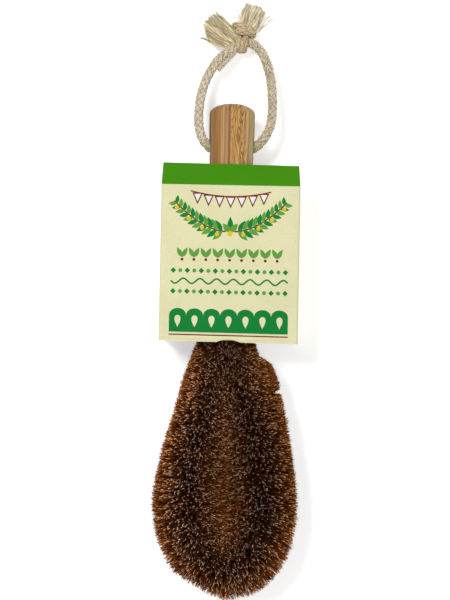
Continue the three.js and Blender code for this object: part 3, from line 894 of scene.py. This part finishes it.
def add_bristles():
    coir = coir_material()
    middle = COIR_START + (TIP_START - COIR_START) / 2
    ends = [COIR_START, middle, TIP_START, WIRE_LENGTH / 2]
    ends += [TIP_END, WIRE_LENGTH - middle, WIRE_LENGTH - COIR_START]
    for number, (name, node) in enumerate(COIR_PIECES):
        rng = np.random.default_rng(SEED + number)
        paths, hints, angle = coir_paths(ends[number], ends[number + 1], rng)
        bright = rng.random(len(paths)) < BRIGHT_SHARE
        thick = rng.uniform(*COIR_RADII, len(paths)) * np.where(bright, BRIGHT_THICKER, 1)
        radii = thick[:, None] * COIR_THICKNESS
        hints = np.repeat(hints[:, None], len(COIR_SHARES), axis=1)
        points, faces = tubes(paths, radii, hints, COIR_SIDES)
        piece = add_piece(name, node, points, faces, [coir], "brush")
        tint(piece, np.repeat(coir_colours(paths, angle, bright, rng), COIR_SIDES, axis=1), "POINT")


add_bristles()


# Handle

HANDLE_RADIUS = 11
SHOULDER_FROM_END = 13
WAIST_RADIUS = 10.5
WAIST_FROM_END = 31
DOME_HEIGHT = 5
FOOT_RADIUS = 9.5
FOOT_ROUND = 2.5
HANDLE_SIDES = 96
HOLE_RADIUS = 2.5
HOLE_FLARE = 1.0
HOLE_FLARE_DEPTH = 3.5
SOCKET_RADIUS = 2.12
SOCKET_DEPTH = 28
OVERCUT = 1
SEAM_X = -0.6
# The first stripe, dark on the handle's left side, is painted shade; the last, pale on its right side, is
# a painted sheen; the others are grain.
WOOD_STRIPES = [
    (-75, 16, 0.8, srgb(98, 78, 36)), (-51, 9, 0.6, srgb(140, 94, 48)),
    (-21, 12, 0.7, srgb(210, 170, 120)), (-31, 2.5, 0.5, srgb(150, 106, 60)),
    (-7, 4.5, 0.8, srgb(126, 80, 40)), (0, 2.6, 0.3, srgb(206, 166, 110)),
    (10, 8, 0.4, srgb(172, 122, 62)), (25, 13, 0.75, srgb(218, 174, 114)),
    (41, 5.5, 0.9, srgb(236, 208, 154)), (48.5, 3, 0.5, srgb(158, 128, 82)),
    (62, 14, 0.75, srgb(206, 194, 144)),
]


def wood_material():
    """Two boards glued along a seam: the left one plain and pinkish, the right one golden and flamed.
    A stripe lies at an angle from the top, with a half width in degrees, a share and a colour. The dark
    stripe on the left side is painted shade, and the pale one on the right side a painted sheen."""
    nodes = Nodes("oiled_wood")
    where = nodes.where()
    x, z = (nodes.node("ShaderNodeSeparateXYZ", {"Vector": where}, axis) for axis in "XZ")
    up = nodes.math("SUBTRACT", z, AXIS_Z * MM)
    angle = nodes.math("ARCTAN2", x, up)
    spoke = nodes.node("ShaderNodeCombineXYZ", {"X": x, "Z": up})
    rim = nodes.rerange(nodes.vector("LENGTH", spoke, output="Value"), 6 * MM, 9.4 * MM, 0, 1)
    right = nodes.math("GREATER_THAN", x, SEAM_X * MM)
    shift = nodes.node("ShaderNodeCombineXYZ", {"X": nodes.math("MULTIPLY", right, 0.31)})
    board = nodes.vector("ADD", where, shift)

    def grain(stretch, **more):
        return nodes.noise(nodes.vector("MULTIPLY", board, stretch), 1, **more)

    broad = grain((300, 4, 60), Detail=2)
    streak = grain((900, 6, 160), Roughness=0.6)
    pore = grain((2600, 40, 500), Detail=2)
    swirl = grain((250, 60, 50), Detail=2, Distortion=0.9)
    flame = nodes.math("PINGPONG", nodes.math("MULTIPLY", swirl, 8), 0.5)

    stops = (0.35, 0.5, 0.65)
    pinkish = (srgb(156, 111, 61), srgb(169, 124, 72), srgb(182, 140, 86))
    golden = (srgb(185, 136, 71), srgb(199, 152, 85), srgb(211, 168, 104))
    left_board, right_board = (nodes.ramp(broad, list(zip(stops, tones))) for tones in (pinkish, golden))
    colour = nodes.mix(right, left_board, right_board)
    for middle, half, share, stripe in WOOD_STRIPES:
        aside = nodes.math("ABSOLUTE", nodes.math("SUBTRACT", angle, math.radians(middle)))
        edge = math.radians(half)
        share = nodes.math("MULTIPLY", nodes.rerange(aside, 0.3 * edge, edge, share, 0), rim)
        colour = nodes.mix(share, colour, stripe)
    flamed = nodes.math("MULTIPLY", nodes.rerange(x, 5 * MM, 8 * MM, 1, 0), right)
    flamed = nodes.math("MULTIPLY", nodes.rerange(flame, 0.06, 0.24, 0.85, 0), flamed)
    colour = nodes.mix(flamed, colour, srgb(146, 98, 44))
    colour = nodes.mix(nodes.rerange(streak, 0.48, 0.62, 0, 0.55), colour, srgb(130, 84, 40))
    colour = nodes.mix(nodes.rerange(pore, 0.5, 0.66, 0, 0.45), colour, srgb(122, 80, 42))
    return nodes.finish(
        Base_Color=colour, Roughness=nodes.rerange(streak, 0.3, 0.7, 0.45, 0.58),
        Specular_IOR_Level=0.22, Normal=nodes.bump(nodes.math("ADD", streak, pore), 0.2, 0.15 * MM),
    )


def handle_profile():
    """Half the handle's outline as (radius, y), from the foot to the domed end."""
    foot_centre = (FOOT_RADIUS - FOOT_ROUND, FOOT_Y + FOOT_ROUND)
    foot = arc(foot_centre, FOOT_ROUND, -1, 0, count=12)
    dome = arc((0, END_Y - DOME_HEIGHT), (HANDLE_RADIUS, DOME_HEIGHT), 0, 1, count=12)
    waist, shoulder = (WAIST_RADIUS, END_Y - WAIST_FROM_END), (HANDLE_RADIUS, END_Y - SHOULDER_FROM_END)
    body = spaced(np.array([foot[-1], waist, shoulder, dome[0]]), step=3)
    return np.concatenate([[(0, FOOT_Y)], foot, body[1:-1], dome[:-1], [(0, END_Y)]])


def cut(piece, points, faces):
    """Cuts a closed shape out of a piece."""
    tool = add_mesh("cutter", points, faces)
    boolean = piece.modifiers.new("cut", "BOOLEAN")
    boolean.object = tool
    boolean.solver = "EXACT"
    apply_modifiers(piece)
    bpy.data.objects.remove(tool)


def add_handle():
    points, faces = lathe(handle_profile(), HANDLE_SIDES)
    points = points + (0, 0, AXIS_Z)
    handle = add_piece("handle_turned", "handle", points, faces, [wood_material()], "brush")
    past, inner = HANDLE_RADIUS + OVERCUT, HANDLE_RADIUS - HOLE_FLARE_DEPTH
    wide = HOLE_RADIUS + HOLE_FLARE * (HOLE_FLARE_DEPTH + OVERCUT) / HOLE_FLARE_DEPTH
    half_hole = [(0, past), (wide, past), (HOLE_RADIUS, inner)]
    points, faces = lathe([(r, -y) for r, y in half_hole] + half_hole[::-1], sides=48)
    across = np.stack([points[:, 1], -points[:, 0], points[:, 2]], axis=1)
    cut(handle, across + (0, HOLE_Y, AXIS_Z), faces)
    socket = [(0, -OVERCUT), (SOCKET_RADIUS, -OVERCUT), (SOCKET_RADIUS, SOCKET_DEPTH), (0, SOCKET_DEPTH)]
    points, faces = lathe(socket, sides=32)
    for side in (-1, 1):
        cut(handle, points + (side * LEG_X, FOOT_Y, AXIS_Z), faces)
    handle.data.set_sharp_from_angle(angle=math.radians(35))


add_handle()


# Card sleeve. Its net is drawn flat: u runs round the sleeve from the middle of the front, v along
# the brush. Folding it gives the outer skin, which is then given the card's thickness inwards.

CARD = 0.5
SLEEVE_HALF_WIDTH = 32.8
SLEEVE_DEPTH = 36.8
SLEEVE_CORNER = 1.0
SLEEVE_BOTTOM = 5.15
SLEEVE_FOLD = 78.75
SLEEVE_TOP = 88.85
BAND_TOP_Z = 30.25
BAND_HALF_WIDTH = 32.7
BAND_TOP_HALF_WIDTH = 32.3
NOTCH_HALF_WIDTH = 5.6
NOTCH_HEIGHT = 1.3
FRONT_BOW = 0.35
FRONT_SLIP = 0.4
BAND_LIFT = 0.4
FRONT_SKEW = 0.0085
LIP_HEIGHT = 1.6
LIP_DROP = 0.55
CREASE = 0.4
NET_GRID = 4
NET_GRID_U = 96
NET_GRID_V = (9, 77)
EDGE_GAP = 0.05
FLAP_HALF_WIDTH = 6
FLAP_THICKNESS = 0.3
FLAP_INSET = 1

FLAT = SLEEVE_HALF_WIDTH - SLEEVE_CORNER
ARC = SLEEVE_CORNER * math.pi / 2
SIDE = SLEEVE_DEPTH - 2 * SLEEVE_CORNER
BACK_START = FLAT + 2 * ARC + SIDE
NET_HALF = BACK_START + FLAT - EDGE_GAP
BAND_SLANT = math.hypot(SLEEVE_TOP - SLEEVE_FOLD, SLEEVE_DEPTH - BAND_TOP_Z)
CORNER_STEPS = 65
SECTION = np.concatenate([
    [(0, SLEEVE_DEPTH)],
    arc((FLAT, SLEEVE_DEPTH - SLEEVE_CORNER), SLEEVE_CORNER, 1, 0, CORNER_STEPS),
    arc((FLAT, SLEEVE_CORNER), SLEEVE_CORNER, 0, -1, CORNER_STEPS),
    [(0, 0)],
])
BAND_EDGE = [
    (FLAT, SLEEVE_FOLD), (BAND_HALF_WIDTH, SLEEVE_FOLD + CREASE),
    (BAND_TOP_HALF_WIDTH, SLEEVE_FOLD + BAND_SLANT),
]

CREAM = srgb(230, 226, 181)
BAND_GREEN = srgb(66, 142, 6)
LEAF_GREEN = srgb(96, 158, 60)
DARK_GREEN = srgb(0, 126, 50)
RUSSET = srgb(122, 36, 18)
YELLOW = srgb(232, 197, 12)
WHITE = srgb(242, 242, 242)


def folded(u, v):
    """Points of the net folded into the sleeve."""
    a = np.abs(u)
    front = a < FLAT + ARC
    x, z = at_lengths(SECTION, a).T
    on_band = front & (v > SLEEVE_FOLD)
    x, z = np.where(on_band, a, x), np.where(on_band, SLEEVE_DEPTH, z)
    above = np.where(front, v - SLEEVE_FOLD, -CREASE)
    eased = np.where(above < CREASE, (above + CREASE) ** 2 / (4 * CREASE), above)
    lean = np.where(above > -CREASE, eased, 0) / BAND_SLANT
    y = v - np.where(front, lean * (BAND_SLANT - (SLEEVE_TOP - SLEEVE_FOLD)), 0)
    z = z - lean * (SLEEVE_DEPTH - BAND_TOP_Z)
    along = np.clip((v - SLEEVE_BOTTOM) / (SLEEVE_FOLD - SLEEVE_BOTTOM), 0, 1)
    skew = FRONT_SKEW * u * np.where(above > 0, lean, 1 - along)
    y = y + np.where(front, BAND_LIFT * lean - FRONT_SLIP * (1 - along) - skew, 0)
    inset = np.cos(np.clip(a / FLAT, 0, 1) * math.pi / 2)
    lip = LIP_DROP * np.clip((SLEEVE_BOTTOM + LIP_HEIGHT - v) / LIP_HEIGHT, 0, 1) ** 2
    bow = FRONT_BOW * inset * (1 - along ** 2) - lip * np.minimum(4 * inset, 1)
    return np.stack([np.sign(u) * x, y, z + np.where(a < FLAT, bow, 0)], axis=1)


# Print: pennants, leafy branches, rows of small ornaments and a scalloped border, as shapes on the net

STRING_HALF = 19
STRING_Y = 73.4
STRING_SAG = 2.4
PENNANT_STEP = 5.2
BRANCH_START = 2.0
BRANCH_SPAN = 24.5
BRANCH_Y = 57.0
BRANCH_RISE = 14.0
BRANCH_CURVE = 1.8
BRANCH_LEAVES = 11
FIRST_LEAF = 0.06
LEAF_STEP = 0.088
LEAF_PAIR_Y = 44.6
LEAF_PAIR_STEP = 5.6
DOT_ROWS_Y = (38.4, 28.6)
DOT_STEP = 3.3
WAVE_Y = 33.5
BORDER_HALF = 28
BORDER_BOTTOM = 9.5
BORDER_TOP = 17.5
SCALLOPS = 7
SCALLOP_RISE = 3.2


def leaf(x, y, angle, length, width):
    """A pointed leaf from its stalk at (x, y)."""
    t = np.linspace(0, 1, 9)
    half = width / 2 * np.sin(math.pi * t ** 0.85)
    ahead = np.concatenate([t, t[-2:0:-1]]) * length
    aside = np.concatenate([half, -half[-2:0:-1]])
    cos, sin = math.cos(math.radians(angle)), math.sin(math.radians(angle))
    return np.stack([x + cos * ahead - sin * aside, y + sin * ahead + cos * aside], axis=1)


def dot(x, y, radius, sides=16):
    return arc((x, y), radius, 0, 4, sides + 1)[:-1]


def drop(x, y, height):
    """A drop of water with its point downwards."""
    t = math.tau * np.arange(18) / 18
    wide = 0.36 * height * np.sin(t) * np.sin(t / 2) ** 1.3
    return np.stack([x + wide, y - height / 2 * np.cos(t)], axis=1)


def ribbon(line, width):
    """A stripe along a line."""
    line = np.asarray(line, float)
    way = unit(np.gradient(line, axis=0))
    aside = np.stack([-way[:, 1], way[:, 0]], axis=1) * width / 2
    return np.concatenate([line + aside, (line - aside)[::-1]])


def garland():
    """Two leafy branches that hang from the upper corners and meet in the middle."""
    shapes = []
    share = np.linspace(0, 1, 24)
    places = FIRST_LEAF + LEAF_STEP * np.arange(BRANCH_LEAVES)
    for side in (-1, 1):
        x, y = BRANCH_START + BRANCH_SPAN * share, BRANCH_Y + BRANCH_RISE * share ** BRANCH_CURVE
        line = np.stack([side * x, y], axis=1)
        shapes.append((ribbon(line, 0.7), RUSSET))
        stalks = at_lengths(line, lengths_along(line)[-1] * places)
        for k, (x, y) in enumerate(stalks):
            slope = BRANCH_RISE * BRANCH_CURVE * (k / BRANCH_LEAVES + 0.05) ** (BRANCH_CURVE - 1)
            heading = math.degrees(math.atan2(slope, BRANCH_SPAN))
            for turn in (52, -48):
                angle = heading + turn if side > 0 else 180 - heading - turn
                colour = DARK_GREEN if (k + (turn > 0)) % 2 else LEAF_GREEN
                shapes.append((leaf(x, y, angle, 6.2 - 0.22 * k, 2.5 - 0.06 * k), colour))
        shapes += [(dot(x, y - 1.9, 0.95), YELLOW) for x, y in stalks[1::3]]
    for angle, length, colour in ((90, 7.5, DARK_GREEN), (50, 5.5, LEAF_GREEN), (130, 5.5, LEAF_GREEN)):
        shapes.append((leaf(0, 56.6, angle, length, 2.8), colour))
    shapes.append((dot(0, 56.0, 1.3), YELLOW))
    return shapes


def bunting():
    """White pennants with russet rims on a string above the branches."""
    share = np.linspace(-1, 1, 24)
    string = np.stack([STRING_HALF * share, STRING_Y + STRING_SAG * share ** 2], axis=1)
    shapes = [(ribbon(string, 0.6), RUSSET)]
    for x in PENNANT_STEP * np.arange(-3, 4):
        y = STRING_Y + STRING_SAG * (x / STRING_HALF) ** 2
        shapes.append(([(x - 2.5, y), (x, y - 5.6), (x + 2.5, y)], RUSSET))
        shapes.append(([(x - 1.6, y - 0.6), (x, y - 4.2), (x + 1.6, y - 0.6)], WHITE))
    return shapes


def ornament_rows():
    """Rows of leaf pairs, lozenges and dots under the branches, with a wave between them."""
    shapes = []
    for x in LEAF_PAIR_STEP * np.arange(-4, 5):
        shapes += [(leaf(x, LEAF_PAIR_Y, angle, 5.2, 2.2), LEAF_GREEN) for angle in (62, 118)]
        shapes.append((dot(x, LEAF_PAIR_Y - 1, 0.7), RUSSET))
    for y, k in itertools.product(DOT_ROWS_Y, range(-8, 9)):
        x = DOT_STEP * k
        shapes.append((dot(x, y, 0.95), LEAF_GREEN) if k % 2 else (dot(x, y, 1.35, 4), DARK_GREEN))
    x = np.linspace(-27.5, 27.5, 111)
    wave = np.stack([x, WAVE_Y + 1.2 * np.sin(0.8 * x)], axis=1)
    shapes.append((ribbon(wave, 0.8), DARK_GREEN))
    return shapes


def scalloped_border():
    """A green strip with a scalloped top, a row of drops left in the card's colour and a line below."""
    edges = np.linspace(-BORDER_HALF, BORDER_HALF, SCALLOPS + 1)
    middles, half = (edges[:-1] + edges[1:]) / 2, BORDER_HALF / SCALLOPS
    outline = [(-BORDER_HALF, BORDER_BOTTOM)]
    for middle in middles:
        outline += arc((middle, BORDER_TOP), (half, SCALLOP_RISE), 2, 0, count=10)[:-1].tolist()
    outline += [(BORDER_HALF, BORDER_TOP), (BORDER_HALF, BORDER_BOTTOM)]
    shapes = [(outline, DARK_GREEN)]
    shapes += [(drop(middle, 14.6, 5.6), CREAM) for middle in middles]
    shapes.append((ribbon([(-BORDER_HALF, 8.3), (BORDER_HALF, 8.3)], 0.6), RUSSET))
    return shapes


def mirrored(points):
    """Points of the right half of a shape on the net, and the same ones on the left, once round."""
    return points + [(-u, v) for u, v in points[::-1]]


def net_outline():
    """The net's edge, once round, with a shallow notch in the front's lower edge."""
    shares = np.linspace(-1, 1, 13)
    notch = [(NOTCH_HALF_WIDTH * t, SLEEVE_BOTTOM + NOTCH_HEIGHT * (1 - t * t)) for t in shares]
    back = BACK_START + FLAT - BAND_TOP_HALF_WIDTH + SLEEVE_CORNER
    right = [
        (NET_HALF, SLEEVE_BOTTOM), (NET_HALF, SLEEVE_TOP), (back, SLEEVE_TOP), (BACK_START, SLEEVE_FOLD),
    ]
    return notch + mirrored(right + BAND_EDGE)


def sleeve_net():
    """The shapes on the net with their colours, the lines that it bends along, and points all over it."""
    shapes = [(net_outline(), CREAM), (mirrored(BAND_EDGE), BAND_GREEN)]
    shapes += garland() + bunting() + ornament_rows() + scalloped_border()
    lines = []
    for corner in (FLAT, FLAT + ARC + SIDE):
        for share, side in itertools.product(np.linspace(0, 1, 5), (-1, 1)):
            u = side * (corner + share * ARC)
            lines.append([(u, SLEEVE_BOTTOM), (u, SLEEVE_FOLD)])
    across = [SLEEVE_FOLD + step * CREASE for step in (-1, -0.5, 0.5, 1)]
    across += [SLEEVE_BOTTOM + NOTCH_HEIGHT + share * LIP_HEIGHT for share in (0.25, 0.5, 0.75, 1)]
    lines += [[(-FLAT + EDGE_GAP, v), (FLAT - EDGE_GAP, v)] for v in across]
    grid_u = np.arange(-NET_GRID_U, NET_GRID_U + 1, NET_GRID)
    return shapes, lines, list(itertools.product(grid_u, np.arange(*NET_GRID_V, NET_GRID)))


def anticlockwise(points):
    """A closed shape's points, turned round where it was drawn clockwise."""
    u, v = np.asarray(points, float).T
    area = np.dot(u, np.roll(v, -1)) - np.dot(v, np.roll(u, -1))
    return points if area > 0 else points[::-1]


def triangles(shapes, lines, loose):
    """Points and triangles of a flat sheet with these shapes, lines and points, and the colour of each
    triangle, taken from the last shape that covers it."""
    groups = [anticlockwise(points) for points, _ in shapes] + lines + [loose]
    starts = np.cumsum([0] + [len(group) for group in groups]).tolist()
    numbers = [list(range(start, end)) for start, end in zip(starts, starts[1:])]
    outlines, edges = numbers[:len(shapes)], numbers[len(shapes):-1]
    corners = [Vector((float(u), float(v))) for group in groups for u, v in group]
    points, _, faces, _, _, sources = delaunay_2d_cdt(corners, edges, outlines, 1, 1e-5)
    colours = [shapes[max(source)][1] for source in sources]
    return np.array([tuple(p) for p in points]), faces, colours


def card_material(name, base):
    """Card whose base colour is a function of the nodes."""
    nodes = Nodes(name)
    place = nodes.where()
    cloud = nodes.noise(place, 60, Detail=2)
    grain = nodes.noise(place, 1400)
    colour = nodes.shaded(base(nodes), nodes.rerange(cloud, 0.3, 0.7, 0.97, 1.02))
    colour = nodes.shaded(colour, nodes.rerange(grain, 0.3, 0.7, 0.96, 1.02))
    return nodes.finish(
        Base_Color=colour, Roughness=nodes.rerange(grain, 0.3, 0.7, 0.5, 0.62),
        Specular_IOR_Level=0.12, Normal=nodes.bump(grain, 0.12, 0.05 * MM),
    )


def add_sleeve():
    points, faces, colours = triangles(*sleeve_net())
    printed = card_material("printed_card", Nodes.tint)
    plain = card_material("plain_card", lambda nodes: nodes.ramp(
        nodes.noise(nodes.where(), 500), [(0.3, srgb(206, 198, 170)), (0.7, srgb(226, 220, 196))]))
    points = folded(*points.T)
    cards = [printed, plain]
    sleeve = add_piece("card_sleeve_printed", "card_sleeve", points, faces, cards, "sleeve")
    tint(sleeve, np.repeat(np.array(colours), 3, axis=0), "CORNER")
    wall = sleeve.modifiers.new("card", "SOLIDIFY")
    wall.thickness = CARD * MM
    wall.offset = -1
    wall.use_even_offset = True
    wall.material_offset = 1
    wall.material_offset_rim = 1
    apply_modifiers(sleeve)
    sleeve.data.set_sharp_from_angle(angle=math.radians(26))
    corners = np.array(list(itertools.product((-1, 1), (0, 1), (0, 1))), float)
    corners *= (FLAP_HALF_WIDTH, SLEEVE_FOLD - SLEEVE_BOTTOM - 2 * FLAP_INSET, FLAP_THICKNESS)
    corners += (0, SLEEVE_BOTTOM + FLAP_INSET, CARD)
    sides = [[0, 1, 3, 2], [4, 6, 7, 5], [0, 4, 5, 1], [2, 3, 7, 6], [0, 2, 6, 4], [1, 5, 7, 3]]
    flap = add_piece("card_glue_flap", "card_sleeve", corners, sides, [plain], "sleeve")
    flap.data.polygons.foreach_set("use_smooth", [False] * len(sides))


add_sleeve()


# Stage: a pale floor, a white surround and soft lamps

FLOOR_HALF = 2500
FLOOR_GLOW = 0.5
FLOOR_FADE = (300, 1200)
AMBIENT = 0.26
LAMPS = [
    ("key", (-500, 450, 1230), 360, 10.3),
    ("fill", (450, -250, 1150), 600, 4.1),
]


def seen_rays(nodes):
    """1 for the rays that show a surface to the camera, also by reflection or through glass."""
    kinds = ("Is Camera Ray", "Is Glossy Ray", "Is Transmission Ray")
    camera, glossy, through = (nodes.node("ShaderNodeLightPath", {}, kind) for kind in kinds)
    return nodes.math("MAXIMUM", nodes.math("MAXIMUM", camera, glossy), through)


def add_floor():
    nodes = Nodes("floor")
    away = nodes.vector("LENGTH", nodes.where(), output="Value")
    level = nodes.rerange(away, FLOOR_FADE[0] * MM, FLOOR_FADE[1] * MM, FLOOR_GLOW, 1.0)
    glow = nodes.math("MULTIPLY", seen_rays(nodes), level)
    corners = np.array([(-1, -1, 0), (1, -1, 0), (1, 1, 0), (-1, 1, 0)])
    floor = add_mesh("floor", corners * FLOOR_HALF, [(0, 1, 2, 3)])
    floor.data.materials.append(nodes.finish(
        Base_Color=srgb(244, 244, 243), Roughness=0.9,
        Emission_Color=(1, 1, 1, 1), Emission_Strength=glow,
    ))


def add_world():
    nodes = Nodes("surround", bpy.data.worlds, "Background")
    levels = {"Value": seen_rays(nodes), "To Min": AMBIENT, "To Max": 1.0}
    level = nodes.node("ShaderNodeMapRange", levels)
    bpy.context.scene.world = nodes.finish(Color=(1, 1, 1, 1), Strength=level)


def add_lamp(name, place, size, power):
    data = bpy.data.lights.new(name, "AREA")
    data.shape = "DISK"
    data.size = size * MM
    data.energy = power
    lamp = add_object(name, data)
    lamp.location = Vector(place) * MM
    lamp.rotation_euler = (-lamp.location).to_track_quat("-Z", "Y").to_euler()


add_floor()
add_world()
for lamp_values in LAMPS:
    add_lamp(*lamp_values)
bpy.context.scene.view_settings.view_transform = "Standard"
